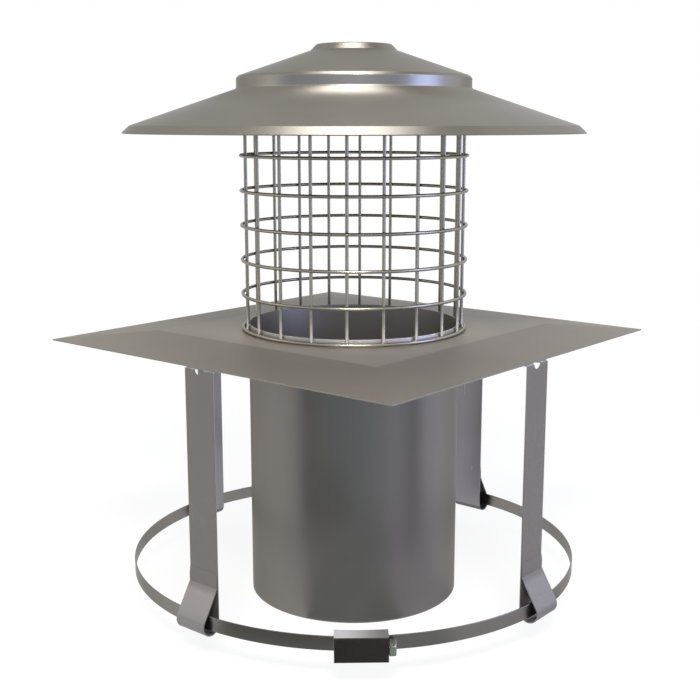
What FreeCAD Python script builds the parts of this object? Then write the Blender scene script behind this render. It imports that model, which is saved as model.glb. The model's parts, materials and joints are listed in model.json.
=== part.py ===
"""Chimney cap for a chimney pot: cone cap, bird guard, base plate, flue tube and strap clamp.

Millimetres, +Z up. The origin is on the flue's axis, at the underside of the base plate's flat
middle, where the plate seats on the pot. X and Y run square to the plate's sides.
"""
import FreeCAD, Part
import math
import os

from FreeCAD import Vector

# Flue tube
TUBE_DIAMETER = 150.0
TUBE_WALL = 0.8
TUBE_BELOW_PLATE = 192.4
TUBE_COLLAR = 4.4  # how far the tube's rim stands over the plate

# Base plate: a flat square with four margins pressed down
PLATE_SIDE = 300.0
PLATE_FLAT_SIDE = 197.0
PLATE_MARGIN_DROP = 5.4
PLATE_SHEET = 0.8

# Bird guard: uprights inside, rings outside, all of one round wire
WIRE_DIAMETER = 2.3
UPRIGHT_COUNT = 20
RING_COUNT = 8
RING_PITCH = 24.0
UPRIGHT_OVERHANG = 5.3  # above the middle of the top ring
WIRE_SIDES = 6  # flats on the wire, with one flat towards the axis
RING_RUNS_PER_UPRIGHT = 2  # a ring's straight runs from one upright to the next

# Cap: one pressed sheet, with a button, a step that takes the guard, and a turned-down rim
CAP_DIAMETER = 317.0
CAP_SHEET = 0.8
CAP_SLOPE = 18.8  # degrees, both cones
CAP_STEP_HEIGHT = 8.1
CAP_STEP_SHOULDER = 1.7  # flat that breaks the step's upper edge, down and across
CAP_RIM_WIDTH = 5.1
CAP_RIM_SLOPE = 42.7  # degrees
BUTTON_DIAMETER = 60.0
BUTTON_WIDTH = 4.3
BUTTON_SLOPE = 45.0  # degrees

# Legs: a flange under the plate, a strap down, and an end folded back into a closed loop
LEG_WIDTH = 25.0
LEG_SHEET = 0.8
LEG_OUTSET = 1.4  # from the plate's edge to the strap's outer face
LEG_BEND_RADIUS = 1.2
LEG_FLANGE = 32.0
LEG_HOLE_DIAMETER = 8.0  # punched across the bend
LOOP_DEPTH = 169.3  # from the plate's underside to the middle of the loop's round end
LOOP_RADIUS = 6.2
LOOP_LEAN = 30.6  # degrees from upright
LOOP_LAP = 10.0  # the loop's flat end on the strap
LOOP_LAP_RADIUS = 1.5

# Clamp band: one strip whose ends lie over each other in the housing
BAND_WIDTH = 9.5
BAND_SHEET = 0.7
BAND_RISE = 2.5  # above the middle of the loop's round end
BAND_LAP = 10.0  # how far each end runs past the housing's middle

# Clamp housing and its screw
CLAMP_ANGLE = -49.0  # degrees about Z, from +X
HOUSING_LENGTH = 33.2
HOUSING_HEIGHT = 16.1
HOUSING_WALL = 1.0
HOUSING_END_WALL = 1.5
HOUSING_EDGE = 0.4
SADDLE_SHEET = 0.7
HEX_ACROSS_FLATS = 10.0
HEX_LENGTH = 4.1
BARREL_DIAMETER = 6.0
NECK_DIAMETER = 4.0

# Clearances
WELD_GAP = 0.02
GUARD_CLEARANCE = 0.3
CAP_CLEARANCE = 0.25
TUBE_CLEARANCE = 0.05
SLOT_CLEARANCE = 0.1
LOOP_CLEARANCE = 0.05
SCREW_CLEARANCE = 0.05
SCREW_END_CLEARANCE = 0.3

# What follows from the sizes above
TUBE_RADIUS = TUBE_DIAMETER / 2
WIRE_RADIUS = WIRE_DIAMETER / 2
UPRIGHT_CIRCLE = TUBE_RADIUS + GUARD_CLEARANCE + WIRE_RADIUS
RING_CIRCLE = UPRIGHT_CIRCLE + WIRE_DIAMETER + WELD_GAP
WIRE_CORNER = WIRE_RADIUS / math.cos(math.pi / WIRE_SIDES)
FIRST_RING_HEIGHT = PLATE_SHEET + WELD_GAP + WIRE_CORNER
UPRIGHT_FOOT = PLATE_SHEET + WELD_GAP
UPRIGHT_TOP = FIRST_RING_HEIGHT + (RING_COUNT - 1) * RING_PITCH + UPRIGHT_OVERHANG
STEP_CIRCLE = RING_CIRCLE + WIRE_RADIUS + CAP_CLEARANCE + CAP_SHEET
CAP_TANGENT = math.tan(math.radians(CAP_SLOPE))
MARGIN_TANGENT = 2 * PLATE_MARGIN_DROP / (PLATE_SIDE - PLATE_FLAT_SIDE)
LEG_FACE = PLATE_SIDE / 2 + LEG_OUTSET
BAND_HEIGHT = BAND_RISE - LOOP_DEPTH


def line(start, end):
    """A straight edge."""
    return Part.LineSegment(start, end).toShape()


def rounded_edges(corners, radii):
    """The edges of an open path, with each inner corner rounded to its radius."""
    edges = []
    start = corners[0]
    for before, corner, after, radius in zip(corners, corners[1:], corners[2:], radii):
        back = (before - corner).normalize()
        onward = (after - corner).normalize()
        half_angle = back.getAngle(onward) / 2
        reach = radius / math.tan(half_angle)
        first = corner + back * reach
        last = corner + onward * reach
        bisector = (back + onward).normalize()
        middle = corner + bisector * (radius / math.sin(half_angle) - radius)
        edges.append(line(start, first))
        edges.append(Part.Arc(first, middle, last).toShape())
        start = last
    edges.append(line(start, corners[-1]))
    return edges


def sheet_section(edges, thickness):
    """The face between a path and its offset by the sheet's thickness."""
    return Part.Wire(edges).makeOffset2D(thickness, 2, True, True)


def make_flue_tube():
    """A plain tube through the plate, with its rim standing over it."""
    length = TUBE_BELOW_PLATE + PLATE_SHEET + TUBE_COLLAR
    foot = Vector(0, 0, -TUBE_BELOW_PLATE)
    outside = Part.makeCylinder(TUBE_RADIUS, length, foot)
    inside = Part.makeCylinder(TUBE_RADIUS - TUBE_WALL, length, foot)
    return outside.cut(inside)


def pressed_mound(height):
    """A solid with the plate's shape on top, wider than the plate."""
    slope_run = PLATE_SIDE - PLATE_FLAT_SIDE
    top = PLATE_FLAT_SIDE / 2
    foot = top + slope_run
    drop = 2 * PLATE_MARGIN_DROP
    mound = Part.makeWedge(-foot, -drop, -foot, -top, -top, foot, 0, foot, top, top)
    mound.rotate(Vector(0, 0, 0), Vector(1, 0, 0), 90)
    mound.translate(Vector(0, 0, height))
    return mound


def make_base_plate():
    """The pressed square sheet, with the tube's hole in its flat middle."""
    sheet = pressed_mound(PLATE_SHEET).cut(pressed_mound(0))
    depth = 2 * PLATE_MARGIN_DROP
    corner = Vector(-PLATE_SIDE / 2, -PLATE_SIDE / 2, -depth)
    blank = Part.makeBox(PLATE_SIDE, PLATE_SIDE, depth + 2 * PLATE_SHEET, corner)
    hole = Part.makeCylinder(TUBE_RADIUS + TUBE_CLEARANCE, 3 * PLATE_SHEET, Vector(0, 0, -PLATE_SHEET))
    return sheet.common(blank).cut(hole)


def make_guard_upright(index):
    """One upright wire, from the plate to the underside of the cap."""
    corners = []
    for side in range(WIRE_SIDES + 1):
        turn = 2 * math.pi * (side + 0.5) / WIRE_SIDES
        across = UPRIGHT_CIRCLE + WIRE_CORNER * math.cos(turn)
        corners.append(Vector(across, WIRE_CORNER * math.sin(turn), UPRIGHT_FOOT))
    height = Vector(0, 0, UPRIGHT_TOP - UPRIGHT_FOOT)
    upright = Part.Face(Part.makePolygon(corners)).extrude(height)
    upright.rotate(Vector(0, 0, 0), Vector(0, 0, 1), 360 * index / UPRIGHT_COUNT)
    return upright


def make_guard_ring(index):
    """One ring wire round the uprights, in short straight runs that lie flat on them."""
    runs = UPRIGHT_COUNT * RING_RUNS_PER_UPRIGHT
    height = FIRST_RING_HEIGHT + index * RING_PITCH
    spread = 1 / math.cos(math.pi / runs)

    def point(run, side):
        around = 2 * math.pi * (run + 0.5) / runs
        turn = 2 * math.pi * (side + 0.5) / WIRE_SIDES
        radius = (RING_CIRCLE + WIRE_CORNER * math.cos(turn)) * spread
        rise = WIRE_CORNER * math.sin(turn)
        return Vector(radius * math.cos(around), radius * math.sin(around), height + rise)

    faces = []
    for run in range(runs):
        for side in range(WIRE_SIDES):
            corners = [point(run, side), point(run + 1, side)]
            corners += [point(run + 1, side + 1), point(run, side + 1)]
            faces.append(Part.Face(Part.makePolygon(corners + corners[:1])))
    return Part.Solid(Part.makeShell(faces))


def make_cap():
    """The cap, turned from its section: button, upper cone, step, lower cone and rim."""
    wire_edge = UPRIGHT_CIRCLE + WIRE_RADIUS
    sheet_upright = CAP_SHEET / math.cos(math.radians(CAP_SLOPE))
    step_top = UPRIGHT_TOP + WELD_GAP + sheet_upright - (STEP_CIRCLE - wire_edge) * CAP_TANGENT
    step_foot = step_top - CAP_STEP_HEIGHT
    shoulder = STEP_CIRCLE - CAP_STEP_SHOULDER
    button_foot_radius = BUTTON_DIAMETER / 2
    button_foot = step_top + (STEP_CIRCLE - button_foot_radius) * CAP_TANGENT
    button_top = button_foot + BUTTON_WIDTH * math.tan(math.radians(BUTTON_SLOPE))
    rim_edge = CAP_DIAMETER / 2
    rim_start = rim_edge - CAP_RIM_WIDTH
    rim_top = step_foot - (rim_start - STEP_CIRCLE) * CAP_TANGENT
    rim_foot = rim_top - CAP_RIM_WIDTH * math.tan(math.radians(CAP_RIM_SLOPE))
    outside = Part.makePolygon([
        Vector(0, 0, button_top),
        Vector(button_foot_radius - BUTTON_WIDTH, 0, button_top),
        Vector(button_foot_radius, 0, button_foot),
        Vector(shoulder, 0, step_top + CAP_STEP_SHOULDER * CAP_TANGENT),
        Vector(STEP_CIRCLE, 0, step_top - CAP_STEP_SHOULDER),
        Vector(STEP_CIRCLE, 0, step_foot),
        Vector(rim_start, 0, rim_top),
        Vector(rim_edge, 0, rim_foot),
    ])
    section = sheet_section(outside.Edges, -CAP_SHEET)
    return section.revolve(Vector(0, 0, 0), Vector(0, 0, 1), 360)


def loop_exit():
    """Where the loop's round end runs into its leaning side, on the inside of the loop."""
    lean = math.radians(LOOP_LEAN)
    across = LEG_FACE + LOOP_RADIUS * (1 + math.cos(lean))
    return Vector(across, 0, LOOP_RADIUS * math.sin(lean) - LOOP_DEPTH)


def leaning_side_at(height):
    """The inside of the loop's leaning side at a height, as a distance from the axis."""
    foot = loop_exit()
    return foot.x - (height - foot.z) * math.tan(math.radians(LOOP_LEAN))


def make_leg(quarter):
    """One leg, bent from a strip, with a hole across its top bend."""
    lean = math.radians(LOOP_LEAN)
    flat = PLATE_FLAT_SIDE / 2
    bend_height = -(LEG_FACE - flat) * MARGIN_TANGENT - WELD_GAP
    flange_end = LEG_FACE - LEG_FLANGE
    flange_height = -(flange_end - flat) * MARGIN_TANGENT - WELD_GAP
    loop_start = Vector(LEG_FACE, 0, -LOOP_DEPTH)
    loop_foot = Vector(LEG_FACE + LOOP_RADIUS, 0, -LOOP_DEPTH - LOOP_RADIUS)
    leaving = loop_exit()
    lap_face = LEG_FACE + LOOP_CLEARANCE
    lap_foot = leaving.z + (leaving.x - lap_face) / math.tan(lean)

    edges = rounded_edges(
        [Vector(flange_end, 0, flange_height), Vector(LEG_FACE, 0, bend_height), loop_start],
        [LEG_BEND_RADIUS],
    )
    edges.append(Part.Arc(loop_start, loop_foot, leaving).toShape())
    edges += rounded_edges(
        [leaving, Vector(lap_face, 0, lap_foot), Vector(lap_face, 0, lap_foot + LOOP_LAP)],
        [LOOP_LAP_RADIUS],
    )
    strip = sheet_section(edges, -LEG_SHEET).extrude(Vector(0, LEG_WIDTH, 0))
    strip.translate(Vector(0, -LEG_WIDTH / 2, 0))
    hole_radius = LEG_HOLE_DIAMETER / 2
    reach = 2 * LEG_BEND_RADIUS
    bend_start = Vector(LEG_FACE - LEG_BEND_RADIUS, 0, bend_height)
    hole_in_strap = Part.makeCylinder(hole_radius, reach, bend_start, Vector(1, 0, 0))
    bend_end = Vector(LEG_FACE, 0, bend_height - LEG_BEND_RADIUS)
    hole_in_flange = Part.makeCylinder(hole_radius, reach, bend_end)
    leg = strip.cut(hole_in_strap.fuse(hole_in_flange))
    leg.rotate(Vector(0, 0, 0), Vector(0, 0, 1), 90 * quarter)
    return leg


def band_layers():
    """The band's inner radius in the housing at its inner end and at its outer end."""
    layer_step = BAND_SHEET + WELD_GAP
    outer_face = leaning_side_at(BAND_HEIGHT + BAND_WIDTH / 2) - LOOP_CLEARANCE
    inner_end = outer_face - layer_step - BAND_SHEET
    return inner_end, inner_end + layer_step


def to_clamp(shape):
    """Turns a shape made along +X to the clamp's place."""
    shape.rotate(Vector(0, 0, 0), Vector(0, 0, 1), CLAMP_ANGLE)
    return shape


def make_clamp_band():
    """The band's strip: two half turns about centres half a layer apart, and its lapped ends."""
    inner_end, outer_end = band_layers()
    half_step = (outer_end - inner_end) / 2
    lap_angle = BAND_LAP / inner_end
    centre = Vector(half_step, 0, 0)
    wide = inner_end + half_step

    def at(middle, radius, angle):
        return middle + Vector(radius * math.cos(angle), radius * math.sin(angle), 0)

    def side(layer):
        near = inner_end + layer
        far = wide + layer
        origin = Vector(0, 0, 0)
        first = at(origin, near, -lap_angle)
        middle = at(origin, near, math.pi)
        last = at(centre, far, lap_angle)
        first_half = Part.Arc(first, at(origin, near, math.pi / 2), middle).toShape()
        second_half = Part.Arc(middle, at(centre, far, -math.pi / 2), last).toShape()
        return first, last, [first_half, second_half]

    inner_first, inner_last, inner_side = side(0)
    outer_first, outer_last, outer_side = side(BAND_SHEET)
    ends = [line(inner_first, outer_first), line(inner_last, outer_last)]
    outline = Part.Wire(Part.__sortEdges__(inner_side + outer_side + ends))
    strip = Part.Face(outline).extrude(Vector(0, 0, BAND_WIDTH))
    strip.translate(Vector(0, 0, BAND_HEIGHT - BAND_WIDTH / 2))
    return to_clamp(strip)


def hex_corner_radius():
    """From the screw's axis to a corner of its head."""
    return HEX_ACROSS_FLATS / 2 / math.cos(math.pi / 6)


def screw_axis_distance():
    """From the flue's axis to the screw's, so that the turning head clears the band and slot."""
    inner_end, outer_end = band_layers()
    outer_face = outer_end + BAND_SHEET
    beside_head = math.sqrt(outer_face**2 - (HOUSING_LENGTH / 2) ** 2)
    over_band = beside_head + hex_corner_radius() + SCREW_END_CLEARANCE
    over_slot = outer_face + SLOT_CLEARANCE + HOUSING_WALL / 2 + SCREW_CLEARANCE + BARREL_DIAMETER / 2
    return max(over_band, over_slot)


def make_clamp_housing():
    """The housing: a block on a curved saddle, with the band's slot and the screw's chamber."""
    inner_end, outer_end = band_layers()
    slot_inside = inner_end - SLOT_CLEARANCE
    slot_outside = outer_end + BAND_SHEET + SLOT_CLEARANCE
    saddle = slot_inside - SADDLE_SHEET
    axis = screw_axis_distance()
    chamber_radius = BARREL_DIAMETER / 2 + SCREW_CLEARANCE
    front = axis + chamber_radius + HOUSING_WALL
    foot = saddle * math.cos(HOUSING_LENGTH / saddle)
    bottom = BAND_HEIGHT - HOUSING_HEIGHT / 2
    half_length = HOUSING_LENGTH / 2

    block = Part.makeBox(front - foot, HOUSING_LENGTH, HOUSING_HEIGHT, Vector(foot, -half_length, bottom))
    front_edges = [edge for edge in block.Edges if abs(edge.CenterOfMass.x - front) < 0.001]
    block = block.makeChamfer(HOUSING_EDGE, front_edges)
    block = block.cut(Part.makeCylinder(saddle, HOUSING_HEIGHT, Vector(0, 0, bottom)))

    slot_height = BAND_WIDTH + 2 * SLOT_CLEARANCE
    slot_foot = Vector(0, 0, BAND_HEIGHT - slot_height / 2)
    slot = Part.makeCylinder(slot_outside, slot_height, slot_foot)
    slot = slot.cut(Part.makeCylinder(slot_inside, slot_height, slot_foot))

    along = Vector(0, 1, 0)
    chamber_start = HOUSING_END_WALL - half_length
    chamber = Part.makeCylinder(
        chamber_radius, HOUSING_LENGTH - 2 * HOUSING_END_WALL, Vector(axis, chamber_start, BAND_HEIGHT), along
    )
    neck_hole = Part.makeCylinder(
        NECK_DIAMETER / 2 + SCREW_CLEARANCE, half_length, Vector(axis, 0, BAND_HEIGHT), along
    )
    return to_clamp(block.cut(slot).cut(chamber.fuse(neck_hole)))


def make_clamp_screw():
    """The screw: a barrel in the housing, a neck through its end wall and a hexagon head."""
    axis = screw_axis_distance()
    half_length = HOUSING_LENGTH / 2
    along = Vector(0, 1, 0)
    barrel_start = HOUSING_END_WALL + SCREW_END_CLEARANCE - half_length
    barrel_end = half_length - HOUSING_END_WALL - SCREW_END_CLEARANCE
    head_start = half_length + SCREW_END_CLEARANCE
    barrel = Part.makeCylinder(
        BARREL_DIAMETER / 2, barrel_end - barrel_start, Vector(axis, barrel_start, BAND_HEIGHT), along
    )
    neck = Part.makeCylinder(NECK_DIAMETER / 2, head_start, Vector(axis, 0, BAND_HEIGHT), along)
    corners = []
    for corner in range(7):
        turn = math.pi / 3 * corner + math.pi / 2
        across = axis + hex_corner_radius() * math.cos(turn)
        height = BAND_HEIGHT + hex_corner_radius() * math.sin(turn)
        corners.append(Vector(across, head_start, height))
    head = Part.Face(Part.makePolygon(corners)).extrude(along * HEX_LENGTH)
    return to_clamp(barrel.fuse(neck).fuse(head).removeSplitter())


def main():
    """Builds every piece and writes one STEP file for each."""
    pieces = {
        "cap": make_cap(),
        "base_plate": make_base_plate(),
        "flue_tube": make_flue_tube(),
        "clamp_band": make_clamp_band(),
        "clamp_housing": make_clamp_housing(),
        "clamp_screw": make_clamp_screw(),
    }
    for index in range(UPRIGHT_COUNT):
        pieces[f"guard_upright_{index + 1:02d}"] = make_guard_upright(index)
    for index in range(RING_COUNT):
        pieces[f"guard_ring_{index + 1}"] = make_guard_ring(index)
    for quarter, side in enumerate(("front_right", "back_right", "back_left", "front_left")):
        pieces[f"leg_{side}"] = make_leg(quarter)

    os.makedirs("parts", exist_ok=True)
    for name, shape in pieces.items():
        shape.exportStep(f"parts/{name}.step")


main()
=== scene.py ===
"""Looks of the chimney cap: turned cap, wire guard, pressed plate, flue tube, strap legs and clamp.

Every new piece is a surface worked out on a grid of two parameters, in the part's own frame. Sizes
in the profiles are millimetres and the meshes are metres.
"""

import json
import math

import bmesh
import bpy
import numpy as np
from bpy.props import FloatProperty, FloatVectorProperty, IntProperty, PointerProperty
from bpy.types import Operator, Panel, PropertyGroup
from mathutils import Matrix, Vector


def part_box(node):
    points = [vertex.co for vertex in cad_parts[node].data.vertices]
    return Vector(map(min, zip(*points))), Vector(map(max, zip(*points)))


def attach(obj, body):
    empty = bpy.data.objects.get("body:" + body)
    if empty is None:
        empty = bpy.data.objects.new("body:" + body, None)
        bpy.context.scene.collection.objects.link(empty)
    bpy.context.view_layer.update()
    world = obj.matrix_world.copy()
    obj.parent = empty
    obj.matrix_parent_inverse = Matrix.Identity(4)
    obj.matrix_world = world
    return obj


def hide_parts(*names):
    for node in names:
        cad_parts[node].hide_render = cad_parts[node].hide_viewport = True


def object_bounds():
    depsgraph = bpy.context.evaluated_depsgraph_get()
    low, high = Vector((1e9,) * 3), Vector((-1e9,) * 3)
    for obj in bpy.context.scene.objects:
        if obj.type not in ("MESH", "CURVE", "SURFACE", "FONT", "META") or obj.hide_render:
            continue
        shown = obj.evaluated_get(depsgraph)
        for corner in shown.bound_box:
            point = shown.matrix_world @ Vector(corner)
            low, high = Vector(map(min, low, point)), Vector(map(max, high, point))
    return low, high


bl_info = {
    "name": "Chimney Cap",
    "version": (1, 0, 0),
    "blender": (4, 5, 0),
    "location": "View3D > Sidebar > Chimney Cap",
    "description": "Builds the surfaces, finishes and studio of a chimney cap round its frame",
    "category": "Object",
}

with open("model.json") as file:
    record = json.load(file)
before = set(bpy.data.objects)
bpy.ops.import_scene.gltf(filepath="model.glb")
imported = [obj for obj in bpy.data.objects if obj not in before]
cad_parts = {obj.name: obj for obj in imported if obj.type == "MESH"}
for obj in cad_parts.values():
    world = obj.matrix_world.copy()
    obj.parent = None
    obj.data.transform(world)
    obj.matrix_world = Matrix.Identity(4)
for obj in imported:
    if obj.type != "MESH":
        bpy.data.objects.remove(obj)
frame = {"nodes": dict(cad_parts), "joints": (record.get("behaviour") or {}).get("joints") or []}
CAD_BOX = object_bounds()
MM = 0.001
WHITE = (1.0, 1.0, 1.0, 1.0)


def node_top(node):
    """The height of a frame node's highest point, in millimetres."""
    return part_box(node)[1].z / MM


def node_foot(node):
    """The height of a frame node's lowest point, in millimetres."""
    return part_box(node)[0].z / MM


def node_reach(node):
    """How far a frame node reaches along +X, in millimetres."""
    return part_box(node)[1].x / MM


# Shapes


def radius_of(x, y):
    """The distance from the Z axis, (x^2 + y^2)^0.5, of numbers or of shader values."""
    return (x * x + y * y) ** 0.5


def rounded_path(corners, radii, arc_points=8):
    """A path through corners (x, z), each inner one rounded by an arc of its radius.

    An arc starts and ends radius / tan(half the corner's angle) from the corner.
    """
    corners = np.asarray(corners, float)
    points = [corners[0]]
    for before, corner, after, radius in zip(corners, corners[1:], corners[2:], radii):
        back = (before - corner) / np.linalg.norm(before - corner)
        onward = (after - corner) / np.linalg.norm(after - corner)
        half = math.acos(np.clip(back @ onward, -1, 1)) / 2
        if radius <= 0:
            points.append(corner)
            continue
        bisector = (back + onward) / np.linalg.norm(back + onward)
        centre = corner + bisector * radius / math.sin(half)
        first = corner + back * radius / math.tan(half) - centre
        last = corner + onward * radius / math.tan(half) - centre
        sweep = math.atan2(first[0] * last[1] - first[1] * last[0], first @ last)
        turn = np.linspace(0, sweep, arc_points)[:, None]
        side = np.array([-first[1], first[0]])
        points.extend(centre + first * np.cos(turn) + side * np.sin(turn))
    points.append(corners[-1])
    return np.array(points)


def path_normals(points):
    """The unit normals to the left of a path's run, halfway between its neighbouring runs."""
    runs = np.diff(points, axis=0)
    runs /= np.linalg.norm(runs, axis=1, keepdims=True)
    tangents = np.vstack([runs[:1], runs[:-1] + runs[1:], runs[-1:]])
    tangents /= np.linalg.norm(tangents, axis=1, keepdims=True)
    return np.stack([-tangents[:, 1], tangents[:, 0]], axis=1)


def sheet_loop(points, thickness):
    """A closed section: a path, and back along the same path offset by the thickness."""
    offset = points + path_normals(points) * thickness
    return np.vstack([points, offset[::-1]])


def refine(points, longest):
    """The path with its longer runs divided, so that no run is longer than given."""
    out = [points[:1]]
    for start, end in zip(points, points[1:]):
        count = max(1, math.ceil(np.linalg.norm(end - start) / longest))
        out.append(start + (end - start) * np.linspace(0, 1, count + 1)[1:, None])
    return np.vstack(out)


def turned(section, segments):
    """A section (radius, z) turned about Z: x = r cos a, y = r sin a."""
    turn = np.linspace(0, 2 * math.pi, segments, endpoint=False)[:, None]
    radius, height = section[None, :, 0], section[None, :, 1]
    around = [radius * np.cos(turn), radius * np.sin(turn), height + 0 * turn]
    return np.stack(around, axis=-1)


# The cosine and sine of the four quarter turns.
QUARTERS = ((1, 0), (0, 1), (-1, 0), (0, -1))


def about_z(cosine, sine):
    """The matrix that turns points about Z, for points @ matrix."""
    return np.array([[cosine, sine, 0], [-sine, cosine, 0], [0, 0, 1.0]])


def wire_circle(radius, sides):
    """A wire's round section as offsets (across, up)."""
    turn = np.linspace(0, 2 * math.pi, sides, endpoint=False)
    return radius * np.stack([np.cos(turn), np.sin(turn)], axis=-1)


def make_piece(name, grids, finish, body, stands_for, sharp=35.0, bevel=0.0):
    """Makes one piece from grids of points in millimetres.

    A grid is (points, wraps_rows, wraps_columns). Doubles are merged, so that seams and poles are
    closed, and then the normals are turned outwards.
    """
    vertices, faces, start = [], [], 0
    for points, wraps_rows, wraps_columns in grids:
        rows, columns = points.shape[:2]
        index = np.arange(rows * columns).reshape(rows, columns) + start
        if wraps_rows:
            index = np.vstack([index, index[:1]])
        if wraps_columns:
            index = np.hstack([index, index[:, :1]])
        quads = [index[:-1, :-1], index[1:, :-1], index[1:, 1:], index[:-1, 1:]]
        faces.append(np.stack(quads, axis=-1).reshape(-1, 4))
        vertices.append(points.reshape(-1, 3))
        start += rows * columns
    mesh = bpy.data.meshes.new(name)
    mesh.from_pydata((np.vstack(vertices) * MM).tolist(), [], np.vstack(faces).tolist())
    work = bmesh.new()
    work.from_mesh(mesh)
    merge_distance = 2e-7
    bmesh.ops.remove_doubles(work, verts=work.verts, dist=merge_distance)
    bmesh.ops.recalc_face_normals(work, faces=work.faces)
    work.to_mesh(mesh)
    work.free()
    mesh.shade_smooth()
    mesh.set_sharp_from_angle(angle=math.radians(sharp))
    piece = bpy.data.objects.new(name, mesh)
    bpy.context.scene.collection.objects.link(piece)
    piece.data.materials.append(finish)
    if bevel:
        rounding = piece.modifiers.new("edge_rounding", "BEVEL")
        rounding.width = bevel * MM
        rounding.segments = 2
        rounding.limit_method = "ANGLE"
        rounding.angle_limit = math.radians(50)
        rounding.harden_normals = True
    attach(piece, body)
    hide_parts(*stands_for)


# Finishes


class Value:
    """A shader socket that takes part in Python arithmetic on numbers."""

    def __init__(self, finish, socket):
        self.finish = finish
        self.socket = socket

    def _math(self, operation, first, second):
        return self.finish.node("ShaderNodeMath", {"operation": operation}, {0: first, 1: second})

    def __add__(self, other):
        return self._math("ADD", self, other)

    def __radd__(self, other):
        return self._math("ADD", other, self)

    def __sub__(self, other):
        return self._math("SUBTRACT", self, other)

    def __rsub__(self, other):
        return self._math("SUBTRACT", other, self)

    def __mul__(self, other):
        return self._math("MULTIPLY", self, other)

    def __rmul__(self, other):
        return self._math("MULTIPLY", other, self)

    def __truediv__(self, other):
        return self._math("DIVIDE", self, other)

    def __rtruediv__(self, other):
        return self._math("DIVIDE", other, self)

    def __pow__(self, other):
        return self._math("POWER", self, other)

    def least(self, other):
        """The smaller of the two."""
        return self._math("MINIMUM", self, other)

    def most(self, other):
        """The larger of the two."""
        return self._math("MAXIMUM", self, other)

    def band(self, low, high):
        """0 below low, 1 above high, and smooth between them."""
        ranges = {"interpolation_type": "SMOOTHSTEP"}
        return self.finish.node("ShaderNodeMapRange", ranges, {"Value": self, 1: low, 2: high})


class Finish:
    """A material's nodes, with one method that makes any node."""

    def __init__(self, name):
        self.material = bpy.data.materials.new(name)
        self.material.use_nodes = True
        self.tree = self.material.node_tree
        self.tree.nodes.clear()

    def node(self, kind, settings=None, inputs=None, output=0):
        """Makes a node: its settings first, then the values or links of its sockets."""
        made = self.tree.nodes.new(kind)
        for key, value in (settings or {}).items():
            setattr(made, key, value)
        for key, value in (inputs or {}).items():
            if isinstance(value, Value):
                self.tree.links.new(value.socket, made.inputs[key])
            else:
                made.inputs[key].default_value = value
        return Value(self, made.outputs[output]) if made.outputs else made

    def place(self):
        """The point's x, y and z on the piece, in metres, from its object coordinates."""
        point = self.node("ShaderNodeTexCoord", output=3)
        split = self.node("ShaderNodeSeparateXYZ", inputs={0: point})
        return [Value(self, split.socket.node.outputs[axis]) for axis in range(3)]

    def vector(self, x, y, z):
        """One vector from three values."""
        return self.node("ShaderNodeCombineXYZ", inputs={0: x, 1: y, 2: z})

    def noise(self, point, scale, detail, roughness):
        """Smooth noise about 0.5 at a point, with this many finer layers."""
        settings = {"noise_dimensions": "3D"}
        values = {"Vector": point, "Scale": scale, "Detail": detail, "Roughness": roughness}
        return self.node("ShaderNodeTexNoise", settings, values)

    def mixed(self, share, first, second):
        """A colour between two, by a share from 0 to 1. Sockets 6 and 7 take the two colours."""
        values = {0: share, 6: first, 7: second}
        return self.node("ShaderNodeMix", {"data_type": "RGBA"}, values, output=2)

    def clouded(self, colour):
        """A colour that faint clouds darken by up to 1.5 percent."""
        clouds = self.noise(self.vector(*self.place()), 3.0, 2.0, 0.5)
        return self.mixed(clouds, opaque(colour, 0.985), opaque(colour))

    def surface(self, shader):
        """Makes the shader the material's surface."""
        self.node("ShaderNodeOutputMaterial", inputs={"Surface": shader})


def opaque(colour, strength=1.0):
    """A colour times a strength, with the alpha that a socket expects."""
    return tuple(part * strength for part in colour) + (1.0,)


def steel(
    name,
    colour,
    roughness,
    grain_of,
    metal=1.0,
    cloud=0.05,
    wear=1.0,
    relief=0.04,
    form=None,
    layers=None,
):
    """Satin stainless steel: rolling or spinning grain, faint clouding, and a soft gloss.

    grain_of takes the point's x, y, z and returns the point that the grain's noise is read at,
    stretched along the way the sheet was rolled, drawn or spun. A metal share under 1 scatters part
    of the light evenly, as a blasted or pickled surface does. cloud is how far the colour strays
    either way, wear how uneven the gloss is, and relief how strong the grain's bumps are, each from
    0 to 1. form takes the point and returns the height of a pressed form, in metres. layers takes
    the point and returns other tones that lie over the base, each a share from 0 to 1, a colour and
    its roughness.
    """
    finish = Finish(name)
    x, y, z = finish.place()
    point = finish.vector(x, y, z)
    grain_noise = finish.noise(finish.vector(*grain_of(x, y, z)), 1.0, 4.0, 0.6)
    clouds = finish.noise(point, 22.0, 3.0, 0.5)
    smudges = finish.noise(point, 75.0, 4.0, 0.65)
    tone = (clouds * 0.5 + grain_noise * 0.35 + smudges * 0.15).band(0.3, 0.7)
    uneven = (clouds - 0.5) * 0.10 + (grain_noise - 0.5) * 0.10 + (smudges - 0.5) * 0.03
    rough = roughness + uneven * wear
    values = {"Strength": relief, "Distance": 0.0004, "Height": grain_noise}
    bump = finish.node("ShaderNodeBump", None, values)
    if form:
        values = {"Strength": 1.0, "Distance": 1.0, "Height": form(x, y, z), "Normal": bump}
        bump = finish.node("ShaderNodeBump", None, values)
    base = finish.mixed(tone, opaque(colour, 1 - cloud), opaque(colour, 1 + cloud))
    for share, other, other_roughness in layers(x, y, z) if layers else ():
        base = finish.mixed(share, base, opaque(other))
        rough = rough + share * (other_roughness - roughness)
    values = {"Base Color": base, "Metallic": metal, "Roughness": rough, "Normal": bump}
    values.update({"Specular Tint": (0.6, 0.6, 0.6, 1.0), "Specular IOR Level": 0.4})
    finish.surface(finish.node("ShaderNodeBsdfPrincipled", None, values))
    return finish.material


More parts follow.
